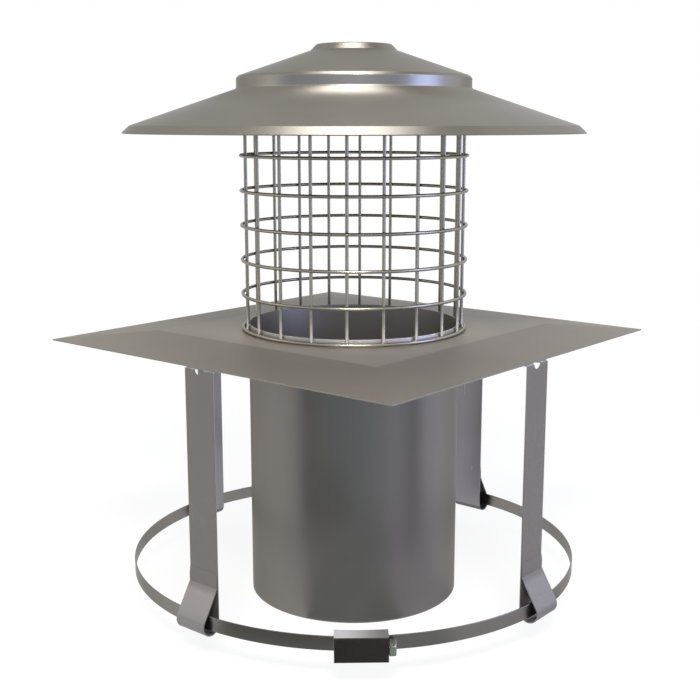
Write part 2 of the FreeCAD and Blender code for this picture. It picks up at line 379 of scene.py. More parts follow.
def spun_grain(x, y, z):
    """Rings about Z: fine across the radius, very long round it."""
    radius = radius_of(x, y)
    return radius * 5200.0, (x / (radius + 0.001)) * 3.0, (y / (radius + 0.001)) * 3.0


def rolled_grain_x(x, y, z):
    """Lines along X."""
    return x * 60.0, y * 4200.0, z * 400.0


def rolled_grain_round(x, y, z):
    """Lines round Z, as on a tube rolled from sheet."""
    return x * 60.0, y * 60.0, z * 4200.0


def rolled_grain_down(x, y, z):
    """Lines along Z, as on strip."""
    return x * 700.0, y * 700.0, z * 12.0


def drawn_grain(x, y, z):
    """The fine mottle of drawn wire."""
    return x * 1800.0, y * 1800.0, z * 1800.0


# Sizes and colours


def length(label, note, default):
    """A length or an angle of 0 or more, with its panel label and note."""
    return FloatProperty(name=label, description=note, default=default, min=0.0)


class ChimneyCapSizes(PropertyGroup):
    """Sizes in millimetres and degrees."""

    sheet: length("Sheet", "Thickness of the cap, plate, tube and leg sheet, mm", 0.8)
    cap_slope: length("Cap slope", "Slope of both cones, degrees", 18.8)
    step_radius: length("Step radius", "Outside radius of the cap's step, mm", 80.97)
    step_height: length("Step height", "Height of the cap's step, mm", 8.1)
    step_shoulder: length("Step shoulder", "Width of the step's 45 degree upper edge, mm", 1.8)
    step_rounding: length("Step rounding", "Radius of the shoulder's two edges, mm", 0.9)
    step_hollow: length("Step hollow", "Radius of the hollow at the step's foot, mm", 1.6)
    step_cove: length("Step cove", "Width of the drawn-in sheet round the step's foot, mm", 36.0)
    rim_width: length("Rim width", "Width of the cap's turned-down rim, mm", 5.1)
    rim_slope: length("Rim slope", "Slope of the cap's rim, degrees", 42.7)
    button_radius: length("Button radius", "Radius of the cap's button at its foot, mm", 30.0)
    button_width: length("Button width", "Width of the button's 45 degree edge, mm", 4.3)
    wire: length("Wire", "Diameter of the guard's wire, mm", 2.3)
    upright_circle: length("Upright circle", "Radius of the circle of uprights, mm", 76.45)
    ring_circle: length("Ring circle", "Radius of the rings' middle, mm", 78.77)
    ring_pitch: length("Ring pitch", "Height from ring to ring, mm", 24.0)
    plate_flat: length("Plate flat", "Half the side of the plate's flat middle, mm", 98.5)
    plate_drop: length("Plate drop", "How far the plate's margins drop, mm", 5.4)
    crease: length("Crease", "Half width of the plate's pressed creases, mm", 1.6)
    leg_face: length("Leg face", "From the flue's axis to the strap's outer face, mm", 151.4)
    leg_width: length("Leg width", "Width of a leg's strip, mm", 25.0)
    leg_flange: length("Leg flange", "Length of the flange under the plate, mm", 32.0)
    leg_hole: length("Leg hole", "Half the width of the leg's hole, mm", 4.0)
    leg_bend: length("Leg bend", "Radius of the leg's top bend, mm", 1.2)
    loop_depth: length("Loop depth", "From the plate's underside to the loop's middle, mm", 169.3)
    loop_radius: length("Loop radius", "Inside radius of the loop's round end, mm", 6.2)
    loop_lean: length("Loop lean", "Lean of the loop's straight side, degrees", 30.6)
    loop_lap: length("Loop lap", "Length of the loop's flat end on the strap, mm", 10.0)
    band_radius: length("Band radius", "Inside radius of the band's inner end, mm", 159.0454)
    band_sheet: length("Band sheet", "Thickness of the band, mm", 0.7)
    band_lap: length("Band lap", "How far each end runs past the clamp's middle, mm", 10.0)
    upright_count: IntProperty(name="Uprights", description="Uprights in the guard", default=20)
    ring_count: IntProperty(name="Rings", description="Rings in the guard", default=8)
    clamp_angle: FloatProperty(
        name="Clamp angle", description="The clamp's place about Z, degrees", default=-49.0
    )


def tint(label, default):
    """A base colour with its panel label."""
    note = "Base colour of the " + label.lower()
    return FloatVectorProperty(
        name=label, description=note, subtype="COLOR", default=default, max=2.0
    )


def dullness(label, default):
    """A roughness with its panel label."""
    note = label + ", 0 polished to 1 dull"
    return FloatProperty(name=label, description=note, default=default, min=0.0, max=1.0)


class ChimneyCapColours(PropertyGroup):
    """Base colours, and how rough the steel is."""

    cap: tint("Cap", (0.238, 0.221, 0.193))
    plate: tint("Plate", (0.275, 0.25, 0.215))
    # The plate's colour round the tube is a painted glow, and its margins' darker colour is painted
    # shade.
    plate_margin: tint("Plate's margins", (0.222, 0.2, 0.17))
    plate_near: tint("Plate round the tube", (0.32, 0.288, 0.245))
    tube: tint("Tube", (0.214, 0.199, 0.182))
    # The tube's lighter inner face is painted light, and its lip carries a painted highlight.
    tube_inside: tint("Flue tube's inner face", (0.37, 0.335, 0.295))
    tube_lip: tint("Flue tube's lip", (0.62, 0.585, 0.54))
    wire: tint("Wire", (0.30, 0.272, 0.222))
    # The uprights' brighter feet are a painted highlight.
    wire_foot: tint("Uprights' feet", (0.78, 0.73, 0.65))
    leg: tint("Legs", (0.15, 0.14, 0.131))
    # The legs' inner face and loops are lighter as painted light.
    leg_inside: tint("Legs' inner face", (0.33, 0.32, 0.34))
    leg_loop: tint("Legs' loops", (0.202, 0.19, 0.184))
    band: tint("Band", (0.236, 0.22, 0.198))
    # The housing's light colour is painted light for its lit top, and its end and front colours are
    # painted shade.
    housing: tint("Clamp housing", (0.63, 0.61, 0.60))
    housing_worn: tint("Clamp housing's worn end", (0.23, 0.215, 0.20))
    housing_front: tint("Clamp housing front", (0.02, 0.018, 0.014))
    screw: tint("Clamp screw", (0.38, 0.375, 0.33))
    floor: tint("Floor", (0.93, 0.93, 0.93))
    card: tint("Dark card", (0.455, 0.505, 0.495))
    dark_card: tint("Darkest card", (0.12, 0.11, 0.09))
    side_card: tint("Side card", (0.74, 0.74, 0.81))
    blue_card: tint("Blue card", (0.74, 0.85, 1.0))
    far_card: tint("Far card", (0.62, 0.70, 0.90))
    far_middle: tint("Far card's middle", (0.66, 0.78, 1.2))
    ceiling_left: tint("Ceiling's left", (0.56, 0.53, 0.465))
    ceiling: tint("Ceiling", (0.75, 0.725, 0.675))
    ceiling_right: tint("Ceiling's right", (0.46, 0.445, 0.42))
    cap_roughness: dullness("Cap roughness", 0.34)
    plate_roughness: dullness("Plate roughness", 0.45)
    tube_roughness: dullness("Tube roughness", 0.44)
    strip_roughness: dullness("Strip roughness", 0.27)
    wire_roughness: dullness("Wire roughness", 0.24)
    band_roughness: dullness("Band roughness", 0.3)
    housing_roughness: dullness("Housing roughness", 0.5)
    front_roughness: dullness("Housing front's roughness", 0.25)
    screw_roughness: dullness("Screw roughness", 0.28)


class BuildStep(Operator):
    """What every piece's operator has in common."""

    bl_options = {"REGISTER", "UNDO"}

    def execute(self, context):
        """Builds the operator's pieces."""
        scene = context.scene
        self.build(scene.chimney_cap_sizes, scene.chimney_cap_colours)
        return {"FINISHED"}


class CHIMNEYCAP_OT_cap(BuildStep):
    """Builds the turned cap: button, two cones, step and rim"""

    bl_idname = "chimney_cap.cap"
    bl_label = "Cap"

    def build(self, sizes, colours):
        """The section runs from the middle out, and back along its offset, and is turned."""
        fall = math.tan(math.radians(sizes.cap_slope))
        top = node_top("cap")
        rim = node_reach("cap")
        foot = top - sizes.button_width
        step_top = foot - (sizes.step_radius - sizes.button_radius) * fall
        step_foot = step_top - sizes.step_height
        rim_start = rim - sizes.rim_width
        rim_top = step_foot - (rim_start - sizes.step_radius) * fall
        rim_foot = rim_top - sizes.rim_width * math.tan(math.radians(sizes.rim_slope))
        corners = [
            (0, top),
            (sizes.button_radius - sizes.button_width, top),
            (sizes.button_radius, foot),
            (sizes.step_radius - sizes.step_shoulder, step_top + sizes.step_shoulder * fall),
            (sizes.step_radius, step_top - sizes.step_shoulder * (1 - fall)),
            (sizes.step_radius, step_foot),
            (rim_start, rim_top),
            (rim, rim_foot),
        ]
        button_edge, step_edge, rim_edge = 2.0, sizes.step_rounding, 1.6
        radii = [button_edge, button_edge, step_edge, step_edge, sizes.step_hollow, rim_edge]
        path = refine(rounded_path(corners, radii), longest=12.0)
        section = sheet_loop(path, -sizes.sheet)
        section[:, 0] = np.maximum(section[:, 0], 0)
        reach = sizes.step_cove * MM

        def cove(x, y, z):
            """The sheet rises towards the step: its extra slope is 0.5 (1 - 3 t^2 + 2 t^3)."""
            t = ((radius_of(x, y) - sizes.step_radius * MM) / reach).most(0.0).least(1.0)
            return (t * t * t - t * t * t * t / 2 - t) * (0.5 * reach)

        rough = colours.cap_roughness
        finish = steel("cap_spun_steel", colours.cap, rough, spun_grain, relief=0.02, form=cove)
        grid = turned(section, segments=192)
        make_piece("cap_sheet", [(grid, True, True)], finish, "cowl", ["cap"])


class CHIMNEYCAP_OT_guard(BuildStep):
    """Builds the guard's rings, uprights and weld spots"""

    bl_idname = "chimney_cap.guard"
    bl_label = "Bird guard"

    def build(self, sizes, colours):
        """Rings are turned about Z, and uprights rise inside them with blunted ends.

        A weld spot is a flattened ball where they cross: deep sin t out from the axis, and
        wide cos t cos s to the side and wide cos t sin s up.
        """
        circle = wire_circle(sizes.wire / 2, sides=14)
        wire = (colours.wire, colours.wire_roughness, drawn_grain, 0.85)
        finish = steel("guard_wire_steel", *wire, relief=0.012)
        first = (node_foot("guard_ring_1") + node_top("guard_ring_1")) / 2
        heights = first + sizes.ring_pitch * np.arange(sizes.ring_count)
        rings = [(turned(circle + (sizes.ring_circle, z), 160), True, True) for z in heights]
        nodes = [f"guard_ring_{k + 1}" for k in range(sizes.ring_count)]
        make_piece("guard_rings", rings, finish, "cowl", nodes)

        outside = sizes.upright_circle * MM

        def feet(x, y, z):
            """The outer side of the uprights' feet, brighter with a painted highlight."""
            out = radius_of(x, y).band(outside - 0.5 * MM, outside + 0.5 * MM)
            return [(out * (1 - z.band(0.004, 0.02)), colours.wire_foot, colours.wire_roughness)]

        finish = steel("guard_upright_steel", *wire, relief=0.012, layers=feet)
        foot, top = node_foot("guard_upright_01"), node_top("guard_upright_01")
        blunt, blunt_width = 0.35, 0.7
        levels = np.array([foot, foot, foot + blunt, top - blunt, top, top])
        widths = np.array([0, blunt_width, 1, 1, blunt_width, 0])
        turns = 2 * math.pi * np.arange(sizes.upright_count) / sizes.upright_count
        ways = [np.array([math.cos(turn), math.sin(turn)]) for turn in turns]
        uprights = []
        for out in ways:
            side = np.array([-out[1], out[0]])
            across = circle[:, :1] * out + circle[:, 1:] * side
            ground = sizes.upright_circle * out + widths[:, None, None] * across
            rise = np.repeat(levels[:, None, None], len(circle), axis=1)
            uprights.append((np.concatenate([ground, rise], axis=-1), False, True))
        nodes = [f"guard_upright_{k + 1:02d}" for k in range(sizes.upright_count)]
        make_piece("guard_uprights", uprights, finish, "cowl", nodes)

        meet = (sizes.upright_circle + sizes.ring_circle) / 2
        spot_depth, spot_width = 0.62, 0.86
        tilt = np.linspace(-math.pi / 2, math.pi / 2, 7)[:, None]
        spin = np.linspace(0, 2 * math.pi, 10, endpoint=False)[None, :]
        deep = meet + spot_depth * np.sin(tilt) + 0 * spin
        wide = spot_width * np.cos(tilt) * np.cos(spin)
        high = spot_width * np.cos(tilt) * np.sin(spin)
        spots = []
        for z in heights:
            for out in ways:
                x, y = deep * out[0] - wide * out[1], deep * out[1] + wide * out[0]
                spots.append((np.stack([x, y, z + high], axis=-1), False, True))
        make_piece("guard_welds", spots, finish, "cowl", [])


class CHIMNEYCAP_OT_plate(BuildStep):
    """Builds the pressed base plate"""

    bl_idname = "chimney_cap.plate"
    bl_label = "Base plate"

    def build(self, sizes, colours):
        """Rows go from the tube's hole to the edge, over it and back underneath.

        Out to the flat middle's crease a point goes from a circle to a square, and beyond it the
        squares grow. With p the larger of |x| and |y| less the flat's half side, and c the crease's
        half width, the fall goes with 0 up to -c, (p + c)^2 / 4c up to c, and p beyond.
        """
        edge = node_reach("base_plate")
        flat, crease = sizes.plate_flat, sizes.crease
        gap = 0.05
        hole = node_reach("flue_tube") + gap
        steps = np.linspace(-1, 1, 25)[:-1]
        steps = np.sign(steps) * (1 - (1 - np.abs(steps)) ** 1.25)
        side = np.stack([np.ones_like(steps), steps], axis=-1)
        square = np.vstack([side @ about_z(*quarter)[:2, :2] for quarter in QUARTERS])
        unit = square / np.linalg.norm(square, axis=1, keepdims=True)
        inner = np.linspace(0, 1, 7)[:, None, None]
        start, end = flat - 2 * crease, flat + 2 * crease
        middle = hole * unit * (1 - inner) + start * square * inner
        spread = np.r_[np.linspace(start, end, 10)[1:], np.linspace(end, edge, 8)[1:]]
        ground = np.concatenate([middle, spread[:, None, None] * square])
        past = np.abs(ground).max(axis=-1) - flat
        ramp = np.where(past < -crease, 0, (past + crease) ** 2 / (4 * crease))
        ramp = np.where(past > crease, past, ramp)
        top = sizes.sheet - sizes.plate_drop / (edge - flat) * ramp
        upper = np.concatenate([ground, top[..., None]], axis=-1)
        lower = upper - (0, 0, sizes.sheet)
        grid = np.concatenate([upper, lower[::-1]])
        rough = colours.plate_roughness

        def margins(x, y, z):
            """A painted glow, a brighter middle that fades from 84 to 115 mm out, and the margins
            in a darker colour, which is painted shade.

            The margins begin where the larger of |x| and |y| passes the flat middle.
            """
            near = 1 - radius_of(x, y).band(0.084, 0.115)
            margin = ((x * x).most(y * y) ** 0.5).band((flat - 2) * MM, (flat + 2) * MM)
            return [(near, colours.plate_near, rough), (margin, colours.plate_margin, rough)]

        finish = steel(
            "plate_rolled_steel", colours.plate, rough, rolled_grain_x, 0.65, layers=margins
        )
        grids = [(grid, True, True)]
        make_piece("plate_sheet", grids, finish, "cowl", ["base_plate"], sharp=40)


class CHIMNEYCAP_OT_tube(BuildStep):
    """Builds the flue tube"""

    bl_idname = "chimney_cap.tube"
    bl_label = "Flue tube"

    def build(self, sizes, colours):
        """A thin upright section with its four edges eased, turned."""
        outer = node_reach("flue_tube")
        inner = outer - sizes.sheet
        foot, top = node_foot("flue_tube"), node_top("flue_tube")
        ease = 0.2
        section = np.array([
            (inner + ease, foot), (outer - ease, foot), (outer, foot + ease), (outer, top - ease),
            (outer - ease, top), (inner + ease, top), (inner, top - ease), (inner, foot + ease),
        ])
        grid = turned(refine(section, longest=24.0), segments=160)
        middle = (outer - sizes.sheet / 2) * MM
        rough = colours.tube_roughness

        def tones(x, y, z):
            """The lip above the plate, lighter as a painted highlight, and the inner face by the
            distance from the axis, lighter as painted light.
            """
            inside = 1 - radius_of(x, y).band(middle - 0.1 * MM, middle + 0.1 * MM)
            lip = z.band(0.0, 0.0008)
            return [(lip, colours.tube_lip, rough), (inside, colours.tube_inside, rough)]

        finish = steel("tube_rolled_steel", colours.tube, rough, rolled_grain_round, layers=tones)
        grids = [(grid, True, True)]
        make_piece("tube_sheet", grids, finish, "cowl", ["flue_tube"], sharp=30)


def plate_fall(sizes):
    """How far the plate's margins drop for each millimetre outwards."""
    return sizes.plate_drop / (node_reach("base_plate") - sizes.plate_flat)


def leg_path(sizes):
    """The leg's strip seen from its edge: flange, bend, strap, round end, leaning side and lap.

    The flange lies under the plate's margin, and the loop is an arc of 180 degrees and the lean.
    Returns the path and the height of the bend's corner.
    """
    fall, gap = plate_fall(sizes), 0.02
    bend = -(sizes.leg_face - sizes.plate_flat) * fall - gap
    start = sizes.leg_face - sizes.leg_flange
    start_height = -(start - sizes.plate_flat) * fall - gap
    lean = math.radians(sizes.loop_lean)
    centre = np.array([sizes.leg_face + sizes.loop_radius, -sizes.loop_depth])
    top = [(start, start_height), (sizes.leg_face, bend), (sizes.leg_face, centre[1])]
    turn = np.linspace(math.pi, 2 * math.pi + lean, 33)[1:, None]
    round_end = centre + sizes.loop_radius * np.concatenate([np.cos(turn), np.sin(turn)], axis=1)
    lap_gap, lap_bend = 0.05, 1.5
    lap_face = sizes.leg_face + lap_gap
    leaving = round_end[-1]
    lap_foot = leaving[1] + (leaving[0] - lap_face) / math.tan(lean)
    end = [leaving, (lap_face, lap_foot), (lap_face, lap_foot + sizes.loop_lap)]
    upper, lower = rounded_path(top, [sizes.leg_bend], 13), rounded_path(end, [lap_bend], 9)
    return np.vstack([upper, round_end[:-1], lower]), bend


class CHIMNEYCAP_OT_legs(BuildStep):
    """Builds the four strap legs with their punched holes and closed loops"""

    bl_idname = "chimney_cap.legs"
    bl_label = "Legs"

    def build(self, sizes, colours):
        """The strip is laid out flat, (along, across), with its hole, and then bent along the path.

        Round the hole the grid goes from an ellipse out to a square as wide as the strip.
        """
        path, bend = leg_path(sizes)
        path = refine(path, longest=6.0)
        normals = path_normals(path)
        along = np.r_[0, np.cumsum(np.linalg.norm(np.diff(path, axis=0), axis=1))]
        end = along[-1]
        half, hole = sizes.leg_width / 2, sizes.leg_hole
        on_flange = path[:, 0] < sizes.leg_face - 0.01
        below_bend = np.abs(path[:, 1] - (bend - sizes.leg_bend)) + 1e3 * on_flange
        bend_end = along[np.argmin(below_bend)]
        bend_turn = math.pi / 2 + math.atan(plate_fall(sizes))
        # The hole's middle lies about a quarter of the bend above its lower end.
        middle = bend_end - 0.2625 * bend_turn * sizes.leg_bend
        tall = bend_end + (hole - sizes.leg_bend) - middle
        taper, end_share = 3.0, 0.08

        def bent(s, w, depth):
            """The path at s moved inwards by the depth, at w across. The end tapers."""
            depth = depth * np.interp(s, [end - taper, end], [1.0, end_share])
            x = np.interp(s, along, path[:, 0]) - depth * np.interp(s, along, normals[:, 0])
            z = np.interp(s, along, path[:, 1]) - depth * np.interp(s, along, normals[:, 1])
            return np.stack(np.broadcast_arrays(x, w, z), axis=-1)

        def both(s, w):
            """The strip's outer and inner face."""
            return [bent(s, w, 0), bent(s, w, sizes.sheet)]

        across = np.linspace(-half, half, 13)
        ring_w = np.r_[across[:-1], np.full(12, half), across[:0:-1], np.full(12, -half)]
        ring_s = np.r_[np.full(12, -half), across[:-1], np.full(12, half), across[:0:-1]]
        reach = np.hypot(ring_w, ring_s)
        share = (np.linspace(0, 1, 9) ** 1.3)[:, None]
        hole_w = (hole * ring_w / reach) * (1 - share) + ring_w * share
        hole_s = middle + (tall * ring_s / reach) * (1 - share) + ring_s * share
        upper, lower = both(hole_s, hole_w)
        rings = [upper, lower, np.stack([upper[0], lower[0]])]
        sheets = [np.stack(both(middle + across, edge)) for edge in (-half, half)]
        strap = along[along > middle + half + 0.2]
        for s in (np.linspace(0, middle - half, 5), np.r_[middle + half, strap]):
            sheets += both(s[:, None], across[None])
            sheets += [np.stack(both(s, edge)) for edge in (-half, half)]
        sheets += [np.stack(both(s, across)) for s in (0.0, end)]
        grids = [(points, False, True) for points in rings]
        grids += [(points, False, False) for points in sheets]

        face = (sizes.leg_face - sizes.sheet / 2) * MM
        rough = colours.strip_roughness
        sides = ("front_right", "back_right", "back_left", "front_left")
        for side, (cosine, sine) in zip(sides, QUARTERS):

            def tones(x, y, z):
                """The loop and the inner face, by how far out a point lies along the leg's way,
                both lighter as painted light.
                """
                out = x * cosine + y * sine
                loop = out.band(face + 2 * MM, face + 4 * MM)
                inside = 1 - out.band(face - 0.1 * MM, face + 0.1 * MM)
                return [(loop, colours.leg_loop, rough), (inside, colours.leg_inside, rough)]

            node = f"leg_{side}"
            finish = steel(
                node + "_strip_steel",
                colours.leg,
                rough,
                rolled_grain_down,
                0.6,
                cloud=0.03,
                wear=0.15,
                relief=0.01,
                layers=tones,
            )
            turn = about_z(cosine, sine)
            leg = [(points @ turn, rows, columns) for points, rows, columns in grids]
            name = node + "_strip"
            make_piece(name, leg, finish, "cowl", [node], sharp=40, bevel=0.06)


def clamp_turn(sizes):
    """The matrix that turns points made along +X to the clamp's place."""
    angle = math.radians(sizes.clamp_angle)
    return about_z(math.cos(angle), math.sin(angle))


class CHIMNEYCAP_OT_band(BuildStep):
    """Builds the clamp's band with its lapped ends"""

    bl_idname = "chimney_cap.band"
    bl_label = "Clamp band"

    def build(self, sizes, colours):
        """Two half turns about centres half a layer apart, with an eased flat section."""
        gap = 0.02
        layer = sizes.band_sheet + gap
        lap = sizes.band_lap / sizes.band_radius
        foot, top = node_foot("clamp_band"), node_top("clamp_band")
        level, thick = (foot + top) / 2, sizes.band_sheet
        ease, skin, low = 0.18, 0.07, 0.05
        section = np.array([
            (0, foot + ease), (skin, foot + low), (ease, foot), (thick - ease, foot),
            (thick - skin, foot + low), (thick, foot + ease), (thick, level),
            (thick, top - ease), (thick - skin, top - low), (thick - ease, top), (ease, top),
            (skin, top - low), (0, top - ease), (0, level),
        ])
        first = np.linspace(-lap, math.pi, 140)
        second = np.linspace(math.pi, 2 * math.pi + lap, 141)[1:]
        angle = np.r_[first, second][:, None]
        shift = np.r_[0 * first, 0 * second + layer / 2][:, None]
        out = sizes.band_radius + shift + section[None, :, 0]
        x, y = shift + out * np.cos(angle), out * np.sin(angle)
        grid = np.stack([x, y, np.broadcast_to(section[:, 1], x.shape)], axis=-1)
        grid = grid @ clamp_turn(sizes)
        grids = [(grid, False, True)]
        for end in (grid[:1], grid[-1:]):
            middle = np.broadcast_to(end.mean(axis=1, keepdims=True), end.shape)
            grids.append((np.concatenate([end, middle]), False, True))
        finish = steel("band_strip_steel", colours.band, colours.band_roughness, rolled_grain_round)
        make_piece("band_strip", grids, finish, "cowl", ["clamp_band"], sharp=20)


class CHIMNEYCAP_OT_clamp(BuildStep):
    """Finishes the clamp's housing and builds its screw"""

    bl_idname = "chimney_cap.clamp"
    bl_label = "Clamp"

    def build(self, sizes, colours):
        """The screw is a radius over (turn, along): thread on the barrel, neck, hexagon head.

        The thread is the wave 0.5 + 0.5 cos(2 pi along / pitch - turn), its crests and roots cut
        flat. The head's radius is half its width over the flats / cos(turn from the flat's middle).
        """
        angle = math.radians(sizes.clamp_angle)

        def layers(x, y, z):
            """Painted shade: the housing's darker end, by the place along it, and its dark front,
            by how far out.
            """
            along = y * math.cos(angle) - x * math.sin(angle)
            out = x * math.cos(angle) + y * math.sin(angle)
            worn, front = along.band(-0.014, 0.016), out.band(0.1690, 0.1694)
            return [
                (worn, colours.housing_worn, colours.housing_roughness),
                (front, colours.housing_front, colours.front_roughness),
            ]

        rough = colours.housing_roughness
        # The light base colour is painted light; the darker end and the dark front over it are
        # painted shade.
        finish = steel(
            "housing_steel", colours.housing, rough, drawn_grain, 0.4, relief=0.02, layers=layers
        )
        housing = frame["nodes"]["clamp_housing"]
        housing.data.materials.clear()
        housing.data.materials.append(finish)

        place = frame["joints"][0]["pos_m"]
        axis_distance, axis_height = math.hypot(place[0], place[1]) / MM, place[2] / MM
        half, wall = 16.6, 1.8
        start, end = wall - half, half - wall
        crest, depth, pitch, neck = 3.0, 0.5, 1.6, 2.0
        root = crest - depth
        head, length = half + 0.3, 4.1
        tip, foot_ease, crown_ease = head + length, 0.35, 0.9
        flats, foot, corner, crown = 5.0, 4.75, 5.05, 4.85
        dish_rim, dish, dish_depth = 3.4, 3.1, 0.7
        turn = np.linspace(0, 2 * math.pi, 96, endpoint=False)
        sector = (turn + math.pi / 2) % (math.pi / 3) - math.pi / 6
        hexagon = flats / np.cos(sector)
        rows = [(start, 0), (start, root)]
        for along in start + np.linspace(0.02, 0.98, 150) * (end - start):
            wave = 0.5 + 0.5 * np.cos(2 * math.pi * along / pitch - turn)
            rows.append((along, root + depth * np.clip(1.6 * wave - 0.3, 0, 1)))
        rows += [(end, root), (end, neck), (head, neck), (head, foot)]
        rows.append((head + 0.05, np.minimum(hexagon, corner)))
        rows += [(head + foot_ease, hexagon), (tip - crown_ease, hexagon)]
        for below in (0.55, 0.25, 0):
            rows.append((tip - below, np.minimum(hexagon, crown + below * 1.1)))
        rows += [(tip, dish_rim), (tip - dish_depth, dish), (tip - dish_depth, 0)]
        radius = np.array([radius + 0 * turn for _, radius in rows])
        y = np.array([along + 0 * turn for along, _ in rows])
        x, z = axis_distance + radius * np.cos(turn), axis_height + radius * np.sin(turn)
        grids = [(np.stack([x, y, z], axis=-1) @ clamp_turn(sizes), False, True)]
        finish = steel("screw_plated_steel", colours.screw, colours.screw_roughness, drawn_grain)
        node = "clamp_screw"
        make_piece("screw_turned", grids, finish, "clamp_screw", [node])


class CHIMNEYCAP_OT_stage(BuildStep):
    """Builds the floor, lamps, world and camera"""

    bl_idname = "chimney_cap.stage"
    bl_label = "Studio"

    def build(self, sizes, colours):
        """Cards and lamps are placed by the camera's own right and the way it looks."""
        azimuth = math.radians(39.611)
        right = np.array([math.cos(azimuth), math.sin(azimuth), 0])
        away = np.array([-math.sin(azimuth), math.cos(azimuth), 0])
        self.floor(colours)
        self.world()
        self.cards(colours, right, away)
        warm, plain = (1.0, 0.985, 0.96), (0.97, 0.985, 1.0)
        cool, blue = (0.6, 0.72, 1.0), (0.4, 0.49, 0.9)
        lamps = (
            ("overhead", (-0.06, -0.05, 1.45), (0.62, 0.75), 9.8, plain, away),
            ("key", (0, -1.3, 1.24), (0.6, 0.3), 38.0, warm, (0, 0, 1)),
            ("cool_side", (1.54, -0.54, 0.5), (0.85, 1.3), 18.5, blue, (0, 0, 1)),
            ("left", (-1.45, -0.1, 0.55), (0.6, 0.5), 1.1, warm, (0, 0, 1)),
            ("right", (1.42, 0.5, 0.35), (0.7, 1.0), 1.2, cool, (0, 0, 1)),
            ("back_right", (0.9, 1.3, 0.95), (1.4, 1.0), 1.2, plain, (0, 0, 1)),
        )
        for name, (side, depth, height), size, power, colour, upward in lamps:
            place = side * right + depth * away + (0, 0, height)
            self.lamp(name, place, size, power, colour, upward)
        self.camera(azimuth)

    def floor(self, colours):
        """A wide floor just under the tube's foot.

        To the camera and in reflections it is nearly all a white glow, and to the light it is pale.
        """
        finish = Finish("studio_floor")
        x, y, _ = finish.place()
        seen = finish.node("ShaderNodeLightPath")
        mirrored = Value(finish, seen.socket.node.outputs["Is Glossy Ray"])
        through = Value(finish, seen.socket.node.outputs["Is Transmission Ray"])
        values = {"Base Color": finish.clouded(colours.floor), "Roughness": 0.9}
        lit = finish.node("ShaderNodeBsdfPrincipled", None, values)
        white = finish.node("ShaderNodeEmission", None, {"Color": WHITE, "Strength": 1.0})
        share = seen.most(mirrored).most(through) * (radius_of(x, y).band(0.25, 1.1) * 0.1 + 0.9)
        finish.surface(finish.node("ShaderNodeMixShader", None, {0: share, 1: lit, 2: white}))
        level, reach = CAD_BOX[0].z - 0.0001, 14.0
        corners = [(-1, -1), (1, -1), (1, 1), (-1, 1)]
        points = [(x * reach, y * reach, level) for x, y in corners]
        self.sheet("studio_floor", points, finish)

    def cards(self, colours, right, away):
        """Cards on the floor and round it, and a ceiling, which only reflections show."""

        def sideways(x, y):
            """How far a point lies to the camera's right."""
            return x * float(right[0]) + y * float(right[1])

        def ray(turn):
            """The way that lies turn degrees to the right of the way to the camera."""
            turn = math.radians(turn)
            return math.sin(turn) * right[:2] - math.cos(turn) * away[:2]

        def rays(first, last, count, reach=1.0):
            """Points on an arc about the axis, by their rays."""
            return [ray(turn) * reach for turn in np.linspace(first, last, count)]

        def far(x, y, z):
            """A bluer, brighter middle."""
            side = sideways(x, y) / radius_of(x, y)
            return [(side.band(-0.24, -0.08) * (1 - side.band(0.08, 0.24)), colours.far_middle)]

        def near(x, y, z):
            """Darkest a little before the band, darker at the tube's foot, paler at the right."""
            distance = radius_of(x, y)
            side = sideways(x, y) / distance
            foot = 1 - distance.band(0.10, 0.25)
            darkest = distance.band(0.19, 0.23) * (1 - distance.band(0.26, 0.42))
            darkest = darkest * (1 - side.band(-0.10, 0.06))
            shade = [part * 0.75 for part in colours.card]
            pale = side.band(0.4, 0.56)
            return [(foot, shade), (darkest, colours.dark_card), (pale, colours.side_card)]

        def over(x, y, z):
            """Darker at the left, and in a strip at the right."""
            across = sideways(x, y)
            left = 1 - across.band(-0.8, 0.8)
            strip = across.band(0.34, 0.54) * (1 - across.band(0.85, 1.0))
            return [(left, colours.ceiling_left), (strip, colours.ceiling_right)]

        ground, lift, tube = CAD_BOX[0].z + 0.0002, 0.0002, 0.076
        fan = rays(-12, 95, 23, 1.2) + rays(-12, 95, 23, 3.5)[::-1]
        fan = [(*point, ground + lift) for point in fan]
        self.card("studio_blue_card", fan, colours.blue_card)

        arc = rays(-75, 95, 35, 3.6)
        wall = [(*point, ground) for point in arc] + [(*point, 1.3) for point in arc[::-1]]
        self.card("studio_far_card", wall, colours.far_card, far)

        edge = [tube * ray(-26) + step * ray(-52) for step in (0, 0.03, 0.1, 0.3, 0.8, 2.1)]
        card = edge + rays(-51, 76, 36, 2.16) + rays(76, -25, 30, tube)
        self.card("studio_card", [(*point, ground) for point in card], colours.card, near)

        corners = [(-1.0, -1.0), (1.0, -1.0), (1.0, 0.9), (-1.0, 0.9)]
        roof = [(*(side * right + depth * away)[:2], 1.75) for side, depth in corners]
        self.card("studio_ceiling", roof, colours.ceiling, over)

    def card(self, name, points, colour, tones=None):
        """A glowing piece that neither the camera nor the light sees, but reflections do.

        tones takes the point's x, y, z and returns tones over its colour, each a share from 0 to 1
        and a colour.
        """
        finish = Finish(name)
        tone = finish.clouded(colour)
        for share, other in tones(*finish.place()) if tones else ():
            tone = finish.mixed(share, tone, opaque(other))
        values = {"Color": tone, "Strength": 1.0}
        finish.surface(finish.node("ShaderNodeEmission", None, values))
        sheet = self.sheet(name, points, finish)
        sheet.visible_camera = False
        sheet.visible_diffuse = False
        sheet.visible_shadow = False

